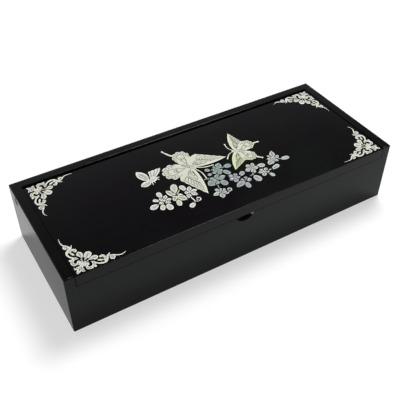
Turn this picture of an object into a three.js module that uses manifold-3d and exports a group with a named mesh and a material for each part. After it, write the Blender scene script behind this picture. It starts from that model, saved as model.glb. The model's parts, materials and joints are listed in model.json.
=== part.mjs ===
// Lacquered pen box with shell inlay on a lid that turns on two hidden pins.
// Millimetres: X runs along the box, Y from the front to the back, Z up.
// The origin is the middle of the underside.
import * as THREE from "three";
import { mergeVertices } from "three/addons/utils/BufferGeometryUtils.js";
import { RoundedBoxGeometry } from "three/addons/geometries/RoundedBoxGeometry.js";
import Module from "manifold-3d";

const wasm = await Module();
wasm.setup();

// Case: four walls, a panel let into them from below, and a felt pad on the panel.
const BOX_LENGTH = 240;
const BOX_DEPTH = 94.5;
const BOX_HEIGHT = 46;
const WALL = 6.5;
const EDGE_RADIUS = 0.8;
const BOTTOM_THICKNESS = 4;
const BOTTOM_LAP = 3;
const FELT_THICKNESS = 1;
const FELT_GAP = 0.6;

// Corner joints: the front and back walls have a tongue at each end, housed in the end walls.
const TONGUE_LENGTH = 3;
const TONGUE_THICKNESS = 2.6;
const TONGUE_STOP = 6;

// Lid: a board between the end walls, with a round rear edge that turns past the back wall.
const LID_THICKNESS = 7.6;
const LID_RECESS = 0.5;
const LID_SIDE_GAP = 0.4;
const LID_REAR_GAP = 0.4;
const LID_SEAT_GAP = 0.3;

// Hinge pins, each driven through an end wall into the lid and hidden by a plug.
const PIN_DIAMETER = 2.5;
const PIN_REACH = 9;
const PIN_SETBACK = 6.7;
const PIN_DROP = 4.8;
const PIN_FIT = 0.04;
const PIN_PLAY = 0.1;
const PLUG_DIAMETER = 3.2;
const PLUG_DEPTH = 1.4;
const ROUND_SIDES = 24;

// Nail notch: a spoon-shaped scoop in the front wall's upper edge.
const NOTCH_WIDTH = 13.5;
const NOTCH_DEPTH = 4.3;
const NOTCH_OFFSET = 3;

// Inlay: pieces sawn from thin shell and laid on the lid.
const SHELL_THICKNESS = 0.35;
const SCROLL_MARGIN_SIDE = 1.5;
const SCROLL_MARGIN_FRONT = 0.9;
const SCROLL_MARGIN_REAR = 0.4;
const STEM_WIDTH = 0.75;
const CURVE_STEPS = 6;
const FLATNESS = 0.01; // edges between faces this close to one plane are dropped after a join

// Sizes that follow from the ones above.
const HALF_LENGTH = BOX_LENGTH / 2;
const HALF_DEPTH = BOX_DEPTH / 2;
const INNER_HALF_LENGTH = HALF_LENGTH - WALL;
const INNER_HALF_DEPTH = HALF_DEPTH - WALL;
const LID_TOP = BOX_HEIGHT - LID_RECESS;
const LID_UNDERSIDE = LID_TOP - LID_THICKNESS;
const FRONT_WALL_TOP = LID_UNDERSIDE - LID_SEAT_GAP;
const LID_HALF_LENGTH = INNER_HALF_LENGTH - LID_SIDE_GAP;
const PIN_Y = INNER_HALF_DEPTH - PIN_SETBACK;
const PIN_Z = BOX_HEIGHT - PIN_DROP;
const PIN_RADIUS = PIN_DIAMETER / 2;
const LID_REAR_RADIUS = PIN_SETBACK - LID_REAR_GAP;
const LID_RISE = LID_TOP - PIN_Z; // from the hinge axis up to the lid's face
const LID_DROP = LID_UNDERSIDE - PIN_Z; // and down to its underside, which is below it
const LID_REAR_EDGE = Math.sqrt(LID_REAR_RADIUS ** 2 - LID_RISE ** 2); // behind the axis, at the face
const TRIM = 2; // how far a block or cutter runs past the surface that trims it

const COLOURS = {
  lacquer: 0x15120f,
  felt: 0x571c1c,
  steel: 0xb9babd,
  cream: 0xe3e0cf,
  ivory: 0xdad9b9,
  white: 0xe6e5de,
  teal: 0x8da3a0,
  lilac: 0xa6a4ad,
  silver: 0xc2c5c1,
};

// A point in the plane of a board, and a direction in space.
const at = (x, y) => new THREE.Vector2(x, y);
const towards = (x, y, z) => new THREE.Vector3(x, y, z);

// A closed geometry as a solid that can be joined and cut.
function solidFrom(geometry) {
  const bare = geometry.clone();
  bare.deleteAttribute("normal");
  bare.deleteAttribute("uv");
  const merged = mergeVertices(bare, 1e-4);
  return new wasm.Manifold(
    new wasm.Mesh({
      numProp: 3,
      vertProperties: merged.getAttribute("position").array,
      triVerts: new Uint32Array(merged.index.array),
    }),
  );
}

// A solid back as a geometry.
function geometryFrom(solid) {
  const mesh = solid.getMesh();
  const geometry = new THREE.BufferGeometry();
  geometry.setAttribute("position", new THREE.BufferAttribute(mesh.vertProperties, 3));
  geometry.setIndex(new THREE.BufferAttribute(mesh.triVerts, 1));
  geometry.computeVertexNormals();
  return geometry;
}

const joined = (geometries) => wasm.Manifold.union(geometries.map(solidFrom));

// A joined solid without the edges that its parts leave across one flat face.
const tidied = (solid) => solid.asOriginal().simplify(FLATNESS);

// A block between two opposite corners. Blocks that meet are given the same numbers.
function block(low, high) {
  const geometry = new THREE.BoxGeometry(2, 2, 2);
  const corners = geometry.getAttribute("position");
  for (let i = 0; i < corners.count; i++) {
    corners.setXYZ(
      i,
      corners.getX(i) < 0 ? low[0] : high[0],
      corners.getY(i) < 0 ? low[1] : high[1],
      corners.getZ(i) < 0 ? low[2] : high[2],
    );
  }
  return geometry;
}

// A rod along X between two planes, centred on the hinge axis.
function rod(x0, x1, radius) {
  const geometry = new THREE.CylinderGeometry(radius, radius, x1 - x0, ROUND_SIDES);
  geometry.rotateZ(Math.PI / 2);
  geometry.translate((x0 + x1) / 2, PIN_Y, PIN_Z);
  return geometry;
}

// The case's outside, with every edge softened. Walls are trimmed to it.
function envelope() {
  const geometry = new RoundedBoxGeometry(BOX_LENGTH, BOX_DEPTH, BOX_HEIGHT, 3, EDGE_RADIUS);
  geometry.translate(0, 0, BOX_HEIGHT / 2);
  return solidFrom(geometry);
}

// The panel fills a rebate cut along the lower inner edge of all four walls.
function bottomPanel() {
  return block(
    [-INNER_HALF_LENGTH - BOTTOM_LAP, -INNER_HALF_DEPTH - BOTTOM_LAP, 0],
    [INNER_HALF_LENGTH + BOTTOM_LAP, INNER_HALF_DEPTH + BOTTOM_LAP, BOTTOM_THICKNESS],
  );
}

function feltPad() {
  return block(
    [FELT_GAP - INNER_HALF_LENGTH, FELT_GAP - INNER_HALF_DEPTH, BOTTOM_THICKNESS],
    [INNER_HALF_LENGTH - FELT_GAP, INNER_HALF_DEPTH - FELT_GAP, BOTTOM_THICKNESS + FELT_THICKNESS],
  );
}

// The tongue at one end of a front or back wall. It fills its housing in the end wall.
function tongue(end, side, wallTop) {
  const inner = end * (INNER_HALF_LENGTH - TRIM);
  const outer = end * (INNER_HALF_LENGTH + TONGUE_LENGTH);
  const middle = side * (HALF_DEPTH - WALL / 2);
  return block(
    [Math.min(inner, outer), middle - TONGUE_THICKNESS / 2, BOTTOM_THICKNESS],
    [Math.max(inner, outer), middle + TONGUE_THICKNESS / 2, wallTop - TONGUE_STOP],
  );
}

// A wall between the two end walls; side is -1 at the front and 1 at the back.
function longWall(side, wallTop) {
  const inner = side * INNER_HALF_DEPTH;
  const outer = side * (HALF_DEPTH + TRIM);
  const board = block(
    [-INNER_HALF_LENGTH, Math.min(inner, outer), -TRIM],
    [INNER_HALF_LENGTH, Math.max(inner, outer), wallTop],
  );
  const rebate = block(
    [-HALF_LENGTH, -INNER_HALF_DEPTH - BOTTOM_LAP, -TRIM],
    [HALF_LENGTH, INNER_HALF_DEPTH + BOTTOM_LAP, BOTTOM_THICKNESS],
  );
  return solidFrom(board)
    .intersect(envelope())
    .subtract(solidFrom(rebate))
    .add(joined([tongue(-1, side, wallTop), tongue(1, side, wallTop)]));
}

// The scoop under the lid's edge. Its mouth on the front face is a round segment.
function nailNotch() {
  const mouthRadius = (NOTCH_WIDTH ** 2 / 4 + NOTCH_DEPTH ** 2) / (2 * NOTCH_DEPTH);
  const scoop = new THREE.SphereGeometry(Math.hypot(mouthRadius, NOTCH_OFFSET), 48, 32);
  scoop.rotateX(Math.PI / 2);
  scoop.translate(0, -HALF_DEPTH - NOTCH_OFFSET, FRONT_WALL_TOP - NOTCH_DEPTH + mouthRadius);
  return solidFrom(scoop);
}

const frontWall = () => geometryFrom(longWall(-1, FRONT_WALL_TOP).subtract(nailNotch()));

const backWall = () => geometryFrom(longWall(1, BOX_HEIGHT + TRIM).intersect(envelope()));

// An end wall runs the full depth and height; side is -1 at the left and 1 at the right.
function endWall(side) {
  const inner = side * INNER_HALF_LENGTH;
  const outer = side * (HALF_LENGTH + TRIM);
  const board = block(
    [Math.min(inner, outer), -HALF_DEPTH - TRIM, -TRIM],
    [Math.max(inner, outer), HALF_DEPTH + TRIM, BOX_HEIGHT + TRIM],
  );
  const plugSeat = side * (HALF_LENGTH - PLUG_DEPTH);
  const housings = [
    bottomPanel(),
    tongue(side, -1, FRONT_WALL_TOP),
    tongue(side, 1, BOX_HEIGHT + TRIM),
    rod(Math.min(0, outer), Math.max(0, outer), PIN_RADIUS + PIN_FIT),
    rod(Math.min(plugSeat, outer), Math.max(plugSeat, outer), PLUG_DIAMETER / 2 + PIN_FIT),
  ];
  return geometryFrom(solidFrom(board).intersect(envelope()).subtract(joined(housings)));
}

function hingePin(side) {
  const outer = side * (HALF_LENGTH - PLUG_DEPTH);
  const inner = side * (LID_HALF_LENGTH - PIN_REACH);
  return rod(Math.min(inner, outer), Math.max(inner, outer), PIN_RADIUS);
}

function pinPlug(side) {
  const inner = side * (HALF_LENGTH - PLUG_DEPTH);
  const outer = side * HALF_LENGTH;
  return rod(Math.min(inner, outer), Math.max(inner, outer), PLUG_DIAMETER / 2);
}

// The lid's cross-section, drawn about the hinge axis with Y to the back and Z up.
// The rear edge is an arc about the axis, so the gap to the back wall stays the same as it turns.
function lidProfile() {
  const front = -HALF_DEPTH - PIN_Y;
  const startAngle = Math.asin(LID_DROP / LID_REAR_RADIUS);
  const endAngle = Math.asin(LID_RISE / LID_REAR_RADIUS);
  const edge = at(front + EDGE_RADIUS, LID_RISE - EDGE_RADIUS);
  const profile = new THREE.Shape();
  profile.moveTo(front, LID_DROP);
  profile.lineTo(LID_REAR_RADIUS * Math.cos(startAngle), LID_DROP);
  profile.absarc(0, 0, LID_REAR_RADIUS, startAngle, endAngle, false);
  profile.absarc(edge.x, edge.y, EDGE_RADIUS, Math.PI / 2, Math.PI, false);
  return profile;
}

// The lid board in the lid's own frame, whose origin is on the hinge axis.
function lidBoard() {
  const length = 2 * LID_HALF_LENGTH;
  const board = new THREE.ExtrudeGeometry(lidProfile(), {
    depth: length,
    bevelEnabled: false,
    curveSegments: 10,
  });
  const alongTheBox = new THREE.Matrix4().makeBasis(
    towards(0, 1, 0),
    towards(0, 0, 1),
    towards(1, 0, 0),
  );
  board.translate(0, 0, -length / 2);
  board.applyMatrix4(alongTheBox);
  const boreEnd = LID_HALF_LENGTH - PIN_REACH - LID_SIDE_GAP;
  const bores = [
    rod(-HALF_LENGTH, -boreEnd, PIN_RADIUS + PIN_PLAY),
    rod(boreEnd, HALF_LENGTH, PIN_RADIUS + PIN_PLAY),
  ];
  bores.forEach((bore) => bore.translate(0, -PIN_Y, -PIN_Z));
  return geometryFrom(solidFrom(board).subtract(joined(bores)));
}

// Flat outlines for the inlay are lists of points, closed from the last to the first.

// A petal or leaf from base to tip. Its two controls say how full each half is.
function petal(base, tip, width, rootFullness = 0.2, tipFullness = 0.75) {
  const along = at(tip.x - base.x, tip.y - base.y);
  const across = at(-along.y, along.x).setLength((width * 2) / 3);
  const point = (share, side) =>
    at(
      base.x + along.x * share + across.x * side,
      base.y + along.y * share + across.y * side,
    );
  const out = new THREE.CubicBezierCurve(base, point(rootFullness, 1), point(tipFullness, 1), tip);
  const back = new THREE.CubicBezierCurve(tip, point(tipFullness, -1), point(rootFullness, -1), base);
  return [...out.getPoints(CURVE_STEPS).slice(0, -1), ...back.getPoints(CURVE_STEPS).slice(0, -1)];
}

// A disc, for a bud or for the round end of a curl.
const disc = (centre, radius) =>
  new THREE.EllipseCurve(centre.x, centre.y, radius, radius).getPoints(14).slice(0, -1);

// A strip along a smooth line, whose width runs evenly from one end to the other.
function strip(line, startWidth, endWidth, steps) {
  const left = [];
  const right = [];
  for (let i = 0; i <= steps; i++) {
    const share = i / steps;
    const point = line.getPoint(share);
    const tangent = line.getTangent(share);
    const half = at(-tangent.y, tangent.x).multiplyScalar(
      THREE.MathUtils.lerp(startWidth, endWidth, share) / 2,
    );
    left.push(point.clone().add(half));
    right.unshift(point.clone().sub(half));
  }
  return [...left, ...right];
}

const stem = (points, startWidth = STEM_WIDTH, endWidth = STEM_WIDTH) =>
  strip(new THREE.SplineCurve(points), startWidth, endWidth, 3 * (points.length - 1));

// The line of a volute: it winds from one radius to another about its centre.
class Volute extends THREE.Curve {
  constructor(centre, radius, endRadius, angle, sweep) {
    super();
    Object.assign(this, { centre, radius, endRadius, angle, sweep });
  }
  getPoint(share, target = new THREE.Vector2()) {
    const radius = THREE.MathUtils.lerp(this.radius, this.endRadius, share);
    const angle = THREE.MathUtils.degToRad(this.angle + this.sweep * share);
    return target.set(
      this.centre.x + radius * Math.cos(angle),
      this.centre.y + radius * Math.sin(angle),
    );
  }
}

// A curl: a strip along a volute, with a round knob on its inner end.
function curl(centre, radius, endRadius, angle, sweep, startWidth, endWidth, knobRadius) {
  const line = new Volute(centre, radius, endRadius, angle, sweep);
  const steps = Math.ceil(Math.abs(sweep) / 30);
  return [strip(line, startWidth, endWidth, steps), disc(line.getPoint(1), knobRadius)];
}

// An outline turned about the origin, and one mirrored in the line y = x or in the X axis.
const turned = (outline, degrees) =>
  outline.map((p) => p.clone().rotateAround(at(0, 0), THREE.MathUtils.degToRad(degrees)));
const swapped = (outline) => outline.map((p) => at(p.y, p.x));
const flipped = (outline) => outline.map((p) => at(p.x, -p.y));

// One piece of shell sawn to the joined outlines.
function shellPiece(outlines) {
  const plates = outlines.map(
    (outline) =>
      new THREE.ExtrudeGeometry(new THREE.Shape(outline), {
        depth: SHELL_THICKNESS,
        bevelEnabled: false,
      }),
  );
  return geometryFrom(tidied(joined(plates)));
}

// Corner scroll, drawn from the lid's corner along its two edges.

// The tails of the two arms: a waving one, and a straighter one.
const WAVING_TAIL = [at(23.8, 3.3), at(26.2, 1.9), at(28.8, 1.6), at(31.2, 2.7)];
const STRAIGHT_TAIL = [at(23.6, 2.7), at(25.3, 1.3), at(27.6, 0.9), at(31.2, 1.2)];

// The arm along one edge: a large curl, a lobed leaf, and a bulb that ends in a long tail.
function scrollArm(tail) {
  return [
    ...curl(at(8.7, 3.4), 3.9, 1.3, 128, -372, 1.5, 2.4, 1.25),
    petal(at(10.4, 1.6), at(12.4, 0.1), 1.7),
    stem([at(11.9, 3.9), at(13.9, 1.9), at(16.6, 0.9), at(19, 1.7)], 1.0, 1.7),
    stem([at(18.2, 1.4), at(19.9, 3.2), at(20.6, 4.7), at(22.8, 6.1)], 2.1, 0.5),
    petal(at(19, 2.4), at(17, 7), 3.4, 0.4, 0.95),
    petal(at(18.6, 2.6), at(14.2, 3.9), 2.7, 0.5, 1.15),
    stem([at(20, 3.9), at(21.6, 4.1), ...tail], 1.5, 0.4),
    disc(at(22.6, 2.2), 1.7),
  ];
}

// The fan of three leaves between the arms, and the trefoil in the corner.
function scrollCorner() {
  const heart = at(6.8, 6.8);
  const eye = at(3.5, 3.5);
  const sideLeaf = [
    stem([heart, at(8.8, 7.2), at(11.4, 7.3)], 1.4, 0.8),
    petal(at(10.4, 7.3), at(15.9, 7), 3.7, 0.3, 0.8),
  ];
  return [
    ...sideLeaf,
    ...sideLeaf.map(swapped),
    petal(heart, at(12.9, 12.9), 4.3, 0.6, 1),
    disc(heart, 1.35),
    petal(eye, heart, 2.6, 0.3, 0.8),
    petal(eye, at(0.2, 0.2), 2.4, 0.2, 0.6),
    disc(at(1.55, 4.6), 1.45),
    disc(at(4.6, 1.55), 1.45),
    disc(eye, 1.7),
  ];
}

const cornerScroll = () =>
  shellPiece([
    ...scrollArm(WAVING_TAIL),
    ...scrollArm(STRAIGHT_TAIL).map(swapped),
    ...scrollCorner(),
  ]);

// Butterflies, drawn with the head towards +X. Each side is drawn on the left and the right one flipped.

// The outer edge of a wing: small arches between two points.
function scallops(from, to, count, rise) {
  const points = [];
  const across = at(from.y - to.y, to.x - from.x).normalize();
  const steps = 2;
  for (let i = 0; i < count * steps; i++) {
    const share = i / (count * steps);
    const lift = rise * Math.sin((Math.PI * (i % steps)) / steps);
    points.push(from.clone().lerp(to, share).addScaledVector(across, lift));
  }
  return points;
}

// A front wing: its leading edge bows forwards to the tip, and its outer edge is scalloped.
function frontWing({ tip, corner, bow, edgeRise }) {
  const front = at(tip.x * 0.55 + bow, tip.y * 0.4);
  const rear = at(corner.x - 3.4, corner.y * 0.8);
  const leading = new THREE.QuadraticBezierCurve(at(1.5, 0), front, tip);
  const trailing = new THREE.QuadraticBezierCurve(corner, rear, at(-4, 0));
  return [
    ...leading.getPoints(7).slice(0, -1),
    ...scallops(tip, corner, 5, edgeRise),
    ...trailing.getPoints(4),
  ];
}

// A rear wing: a round lobe with a scalloped rim.
function rearWing({ centre, radius, rimRise }) {
  const points = [];
  const arches = 9;
  for (let i = 0; i < 3 * arches; i++) {
    const angle = (2 * Math.PI * i) / (3 * arches);
    const reach = i % 3 === 0 ? radius - rimRise : radius;
    points.push(at(centre.x + reach * Math.cos(angle), centre.y + reach * Math.sin(angle)));
  }
  return points;
}

// One side's wings, with the tail of the rear wing.
const wings = ({ front, rear, tail }) => [
  frontWing(front),
  rearWing(rear),
  petal(at(-2, 0.5), rear.centre, rear.radius * 1.5, 0.3, 1),
  stem(tail, 1.9, 1.1),
  disc(tail.at(-1), 0.75),
];

function butterfly({ left, right, feeler, body }) {
  const feelerOutlines = [stem(feeler, 0.7, 0.9), disc(feeler.at(-1), 0.65)];
  return shellPiece([
    ...wings(left),
    ...wings(right).map(flipped),
    ...feelerOutlines,
    ...feelerOutlines.map(flipped),
    petal(at(-body, 0), at(4.2, 0), 4, 0.15, 0.9),
  ]);
}

const largeButterfly = () =>
  butterfly({
    left: {
      front: { tip: at(19, 18.6), corner: at(-1.8, 14.2), bow: 2.6, edgeRise: 0.3 },
      rear: { centre: at(-9.8, 7.6), radius: 6.3, rimRise: 0.8 },
      tail: [at(-13, 7.6), at(-17.5, 6.8), at(-24, 8.8)],
    },
    right: {
      front: { tip: at(19.9, 21.6), corner: at(-0.8, 15.6), bow: 2.4, edgeRise: 0.35 },
      rear: { centre: at(-8.7, 8.4), radius: 7.8, rimRise: 0.9 },
      tail: [at(-12, 8.4), at(-14.2, 9.2), at(-15.9, 9.8)],
    },
    feeler: [at(3, 0.8), at(8.5, 2.8), at(13.2, 7)],
    body: 7.4,
  });

function mediumButterfly() {
  const side = {
    front: { tip: at(3.8, 20.6), corner: at(-4.2, 10.6), bow: 4.6, edgeRise: 0.2 },
    rear: { centre: at(-7.6, 6), radius: 5, rimRise: 0.45 },
    tail: [at(-9.5, 6), at(-12.5, 7.6), at(-16, 9)],
  };
  const feeler = [at(3, 0.8), at(6, 3.4), at(7.6, 8)];
  return butterfly({ left: side, right: side, feeler, body: 7 });
}

// The small butterfly is seen from the side, so its wings differ.
function smallButterfly() {
  const fan = [
    at(0, 0),
    ...scallops(at(2.2, 8.6), at(11, 8.6), 3, -0.4),
    at(11, 8.6),
    at(9.4, 5.4),
    at(4.5, 1.6),
  ];
  const legs = [
    [at(-1, -1), at(-2, -4)],
    [at(0, -1), at(-0.6, -5)],
    [at(1, -1), at(1.6, -4)],
  ];
  return shellPiece([
    fan,
    petal(at(-1, -0.5), at(-4.8, 12.2), 6.2, 0.35, 0.75),
    petal(at(0, -1), at(-8.2, -2.7), 5, 0.35, 0.8),
    petal(at(-2.6, -1.4), at(5, 0.3), 3.4, 0.2, 0.9),
    ...legs.map((leg) => stem(leg, 1.1, 0.6)),
    stem([at(3, 0), at(5, 0.4), at(6.2, -0.2)], 1.3, 0.7),
    stem([at(2.6, -0.4), at(4.4, -1.2), at(5, -2.6)], 1.1, 0.6),
  ]);
}

// Blossoms: petals radiate from a centre, given as angle, length and width.
// Each bud is a drop on a stem of its own, given as its base, tip and width.
function blossom({ petals, buds = [], tendrils = [] }) {
  const centre = at(0, 0);
  const outlines = [disc(centre, 1.5)];
  petals.forEach(([angle, length, width]) => {
    outlines.push(turned(petal(centre, at(length, 0), width, 0.25, 0.7), angle));
  });
  buds.forEach(([x0, y0, x1, y1, width]) => {
    const base = at(x0, y0);
    outlines.push(stem([centre, base.clone().lerp(at(x1, y1), 0.2)]));
    outlines.push(petal(base, at(x1, y1), width, 0.25, 1));
  });
  return shellPiece([...outlines, ...tendrils.flat()]);
}

const leafPiece = (length, width) => shellPiece([petal(at(0, 0), at(length, 0), width, 0.2, 0.95)]);

// The two sprays under the butterflies: place on the lid, colour and shape of each piece.
const SPRAYS = [
  {
    name: "left_spray_blossom_outer",
    place: at(-41.6, -17.6),
    colour: "white",
    petals: [
      [50, 5.8, 3],
      [-5, 5.2, 3],
      [-50, 4.8, 2.8],
      [110, 4.2, 3],
      [195, 4.2, 2.8],
    ],
    buds: [
      [0.1, 3.4, 0.1, 9.2, 3.6],
      [-2.4, 1.4, -5.9, 4.1, 2.7],
      [-1.8, -2, -4.6, -7, 3.4],
      [0.4, -3, 0.7, -9.4, 4.3],
    ],
  },
  {
    name: "left_spray_blossom_middle",
    place: at(-32.9, -17.2),
    colour: "cream",
    petals: [
      [114, 8.2, 4.2],
      [-54, 8, 5],
      [-14, 4.8, 3],
      [228, 5, 3.4],
      [180, 2.8, 3.4],
    ],
    buds: [
      [0.2, 2, 4, 10.6, 4.6],
      [-0.2, -2.6, -2, -9.4, 3.5],
    ],
    tendrils: [[stem([at(0.5, 0.5), at(3.3, 2.7), at(4.9, 4.5)], 0.9, 0.4)]],
  },
  {
    name: "left_spray_blossom_inner",
    place: at(-24, -18.6),
    colour: "white",
    petals: [
      [62, 6, 3.3],
      [2, 5.8, 3.2],
      [-50, 5.8, 3.4],
      [236, 5.4, 3.4],
      [150, 3.2, 3.4],
    ],
    buds: [[-1.2, 2.6, -1.9, 8.6, 3.8]],
    tendrils: [
      [stem([at(-0.6, -1), at(-1.3, -4.6), at(-0.9, -8.9), at(-2.4, -10.4)], 0.9, 0.9)],
      [petal(at(-1.6, -9.7), at(-6.2, -12.6), 3.6, 0.25, 1)],
      curl(at(1.9, -8), 1.9, 0.75, 232, 330, 0.8, 0.9, 0.6),
      [stem([at(-0.9, -8.6), at(-0.1, -9.5), at(1, -9.6)], 0.8, 0.8)],
    ],
  },
  {
    name: "right_spray_blossom_upper",
    place: at(3.4, -8.8),
    colour: "teal",
    petals: [
      [56, 7.4, 4.8],
      [100, 5, 3.6],
      [150, 4.6, 3.4],
      [-100, 5, 3.8],
      [200, 5.2, 3.4],
      [-45, 3.8, 3.6],
    ],
    buds: [
      [4.6, 0.8, 10.2, 0.2, 4],
      [2.2, -1.6, 5.2, -7.4, 3.7],
      [-4.4, 1.8, -7.6, 4.4, 2.9],
      [-5.4, -1, -8.6, -1.8, 2.6],
    ],
  },
  {
    name: "right_spray_blossom_lower",
    place: at(-2.8, -16.6),
    colour: "teal",
    petals: [
      [200, 7.8, 6],
      [50, 5.6, 3.8],
      [4, 7.4, 4],
      [-115, 5.6, 4],
      [140, 5, 3.6],
    ],
    buds: [[2, -1.4, 3.7, -8, 4.5]],
    tendrils: [
      [stem([at(-3, 2.6), at(-4.6, 3.6), at(-7, 3.7)], 1.3, 0.6)],
      [stem([at(-1.6, -4), at(-2.2, -6), at(-2.7, -7.9)], 0.8, 0.7)],
    ],
  },
  {
    name: "right_spray_blossom_star",
    place: at(-6.4, -28.3),
    colour: "silver",
    petals: [
      [118, 4.8, 3],
      [62, 3.6, 3.2],
      [186, 6.2, 3.2],
      [-106, 6, 4],
      [-42, 5.4, 3.4],
      [15, 4.2, 3],
    ],
    tendrils: [
      curl(at(5.8, -0.6), 1.7, 0.75, 238, 320, 0.8, 0.9, 0.6),
      [stem([at(1.6, -1), at(3.4, -2), at(5, -2.05)], 0.8, 0.8)],
    ],
  },
  {
    name: "right_spray_blossom_lilac",
    place: at(9.2, -20.9),
    colour: "lilac",
    petals: [
      [128, 4.9, 3.4],
      [58, 4, 3.4],
      [190, 4.8, 3.4],
      [-115, 5.2, 3.8],
      [-20, 3.4, 3.6],
    ],
    buds: [[3.4, -0.6, 7.7, 2.4, 3.5]],
  },
  {
    name: "right_spray_blossom_long",
    place: at(13.2, -26.4),
    colour: "lilac",
    petals: [
      [202, 9.2, 4.4],
      [140, 3, 3],
      [46, 3.6, 3.2],
      [-22, 4.4, 3.6],
      [95, 2.4, 3],
    ],
    buds: [[-0.4, -2, -1.7, -7.9, 3.5]],
  },
  {
    name: "right_spray_blossom_round",
    place: at(23.6, -18.7),
    colour: "silver",
    petals: [
      [106, 5.2, 3.8],
      [52, 5.6, 3.6],
      [-12, 5, 3.6],
      [-104, 5.4, 3.8],
      [184, 5.4, 3.8],
    ],
    buds: [[4, 0, 9.6, -1.3, 4]],
    tendrils: [[stem([at(-0.8, -3.4), at(-2.6, -5.3), at(-5.6, -6.3)], 0.9, 0.5)]],
  },
  {
    name: "right_spray_blossom_low",
    place: at(28.9, -25.8),
    colour: "silver",
    petals: [
      [112, 4, 3],
      [38, 4.3, 3.2],
      [168, 4.5, 3],
      [-128, 4.8, 3.4],
      [-30, 3.4, 3.2],
    ],
    buds: [
      [5.6, -0.6, 12.4, 1.2, 3.6],
      [1.8, -2.6, 3.3, -7.1, 2.9],
    ],
  },
  {
    name: "right_spray_blossom_end",
    place: at(41.8, -18),
    colour: "silver",
    petals: [
      [66, 8.8, 4],
      [108, 5.8, 2.6],
      [152, 4.8, 2.8],
      [208, 7.4, 4.4],
      [18, 5.4, 3.4],
      [-66, 3.8, 3.4],
    ],
    buds: [[4, -2.4, 10.3, -3.4, 3.6]],
  },
];

const LEAVES = [
  { name: "left_spray_leaf", place: at(-46.1, -18.9), angle: 190, length: 6.3, width: 4.4, colour: "white" },
  { name: "right_spray_leaf", place: at(20.6, -25.5), angle: -80, length: 7, width: 4.8, colour: "silver" },
];

const BUTTERFLIES = [
  { name: "large_butterfly", make: largeButterfly, place: at(-10.5, 3), angle: -50, colour: "cream" },
  { name: "medium_butterfly", make: mediumButterfly, place: at(25.5, 2), angle: 155, colour: "ivory" },
  { name: "small_butterfly", make: smallButterfly, place: at(-39.4, 4.4), angle: 0, colour: "white" },
];

function named(name, geometry, colour, roughness = 0.3, metalness = 0) {
  const material = new THREE.MeshStandardMaterial({ color: COLOURS[colour], roughness, metalness });
  const mesh = new THREE.Mesh(geometry, material);
  mesh.name = name;
  return mesh;
}

function caseGroup() {
  const group = new THREE.Group();
  group.add(
    named("bottom_panel", bottomPanel(), "lacquer"),
    named("front_wall", frontWall(), "lacquer"),
    named("back_wall", backWall(), "lacquer"),
    named("left_end_wall", endWall(-1), "lacquer"),
    named("right_end_wall", endWall(1), "lacquer"),
    named("felt_pad", feltPad(), "felt", 0.95),
    named("left_hinge_pin", hingePin(-1), "steel", 0.35, 1),
    named("right_hinge_pin", hingePin(1), "steel", 0.35, 1),
    named("left_pin_plug", pinPlug(-1), "lacquer"),
    named("right_pin_plug", pinPlug(1), "lacquer"),
  );
  return group;
}

// A corner scroll turned a quarter for each corner of the lid, its arms along the two edges.
function scrolls() {
  const side = LID_HALF_LENGTH - SCROLL_MARGIN_SIDE;
  const front = -HALF_DEPTH + SCROLL_MARGIN_FRONT - PIN_Y;
  const rear = LID_REAR_EDGE - SCROLL_MARGIN_REAR;
  const corners = [
    ["corner_scroll_front_left", -side, front, 0],
    ["corner_scroll_front_right", side, front, 1],
    ["corner_scroll_back_right", side, rear, 2],
    ["corner_scroll_back_left", -side, rear, 3],
  ];
  return corners.map(([name, x, y, quarters]) => {
    const mesh = named(name, cornerScroll(), "cream");
    mesh.position.set(x, y, 0);
    mesh.rotation.z = (quarters * Math.PI) / 2;
    return mesh;
  });
}

// The middle picture, placed from the middle of the box.
function picture() {
  const pieces = [
    ...BUTTERFLIES.map((piece) => ({ ...piece, geometry: piece.make() })),
    ...SPRAYS.map((piece) => ({ ...piece, angle: 0, geometry: blossom(piece) })),
    ...LEAVES.map((piece) => ({ ...piece, geometry: leafPiece(piece.length, piece.width) })),
  ];
  return pieces.map(({ name, geometry, colour, place, angle }) => {
    const mesh = named(name, geometry, colour);
    mesh.position.set(place.x, place.y - PIN_Y, 0);
    mesh.rotation.z = THREE.MathUtils.degToRad(angle);
    return mesh;
  });
}

// The lid turns about its group's X axis; a negative rotation opens it.
function lidGroup() {
  const group = new THREE.Group();
  group.position.set(0, PIN_Y, PIN_Z);
  const inlay = new THREE.Group();
  inlay.position.z = LID_RISE;
  inlay.add(...scrolls(), ...picture());
  group.add(named("lid_board", lidBoard(), "lacquer"), inlay);
  return group;
}

const penBox = new THREE.Group();
penBox.add(caseGroup(), lidGroup());

export default penBox;
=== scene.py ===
"""Visible pieces of a black lacquer pen box with shell inlay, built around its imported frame.

Lengths are in metres. Drawings of the inlay are in millimetres, seen from above, with X along the
box and Y from the front to the back, as on a cutter's paper pattern.
"""

import json
import math

import bmesh
import bpy
import numpy as np
from bpy.props import FloatProperty, FloatVectorProperty, PointerProperty
from mathutils import Matrix, Vector
from mathutils.geometry import delaunay_2d_cdt


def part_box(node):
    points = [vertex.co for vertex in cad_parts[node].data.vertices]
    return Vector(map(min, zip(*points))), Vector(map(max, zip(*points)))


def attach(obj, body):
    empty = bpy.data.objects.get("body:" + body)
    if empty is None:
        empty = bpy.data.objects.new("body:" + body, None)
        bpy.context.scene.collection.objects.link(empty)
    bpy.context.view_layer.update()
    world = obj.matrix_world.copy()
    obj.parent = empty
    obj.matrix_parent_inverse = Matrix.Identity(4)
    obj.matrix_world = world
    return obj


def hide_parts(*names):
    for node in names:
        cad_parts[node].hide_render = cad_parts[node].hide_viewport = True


bl_info = {
    "name": "Inlaid Pen Box",
    "version": (1, 0, 0),
    "blender": (4, 5, 0),
    "location": "View3D > Sidebar > Pen Box",
    "description": "Builds the boards, lining, pins and shell inlay of a lacquered pen box",
    "category": "Object",
}

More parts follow.
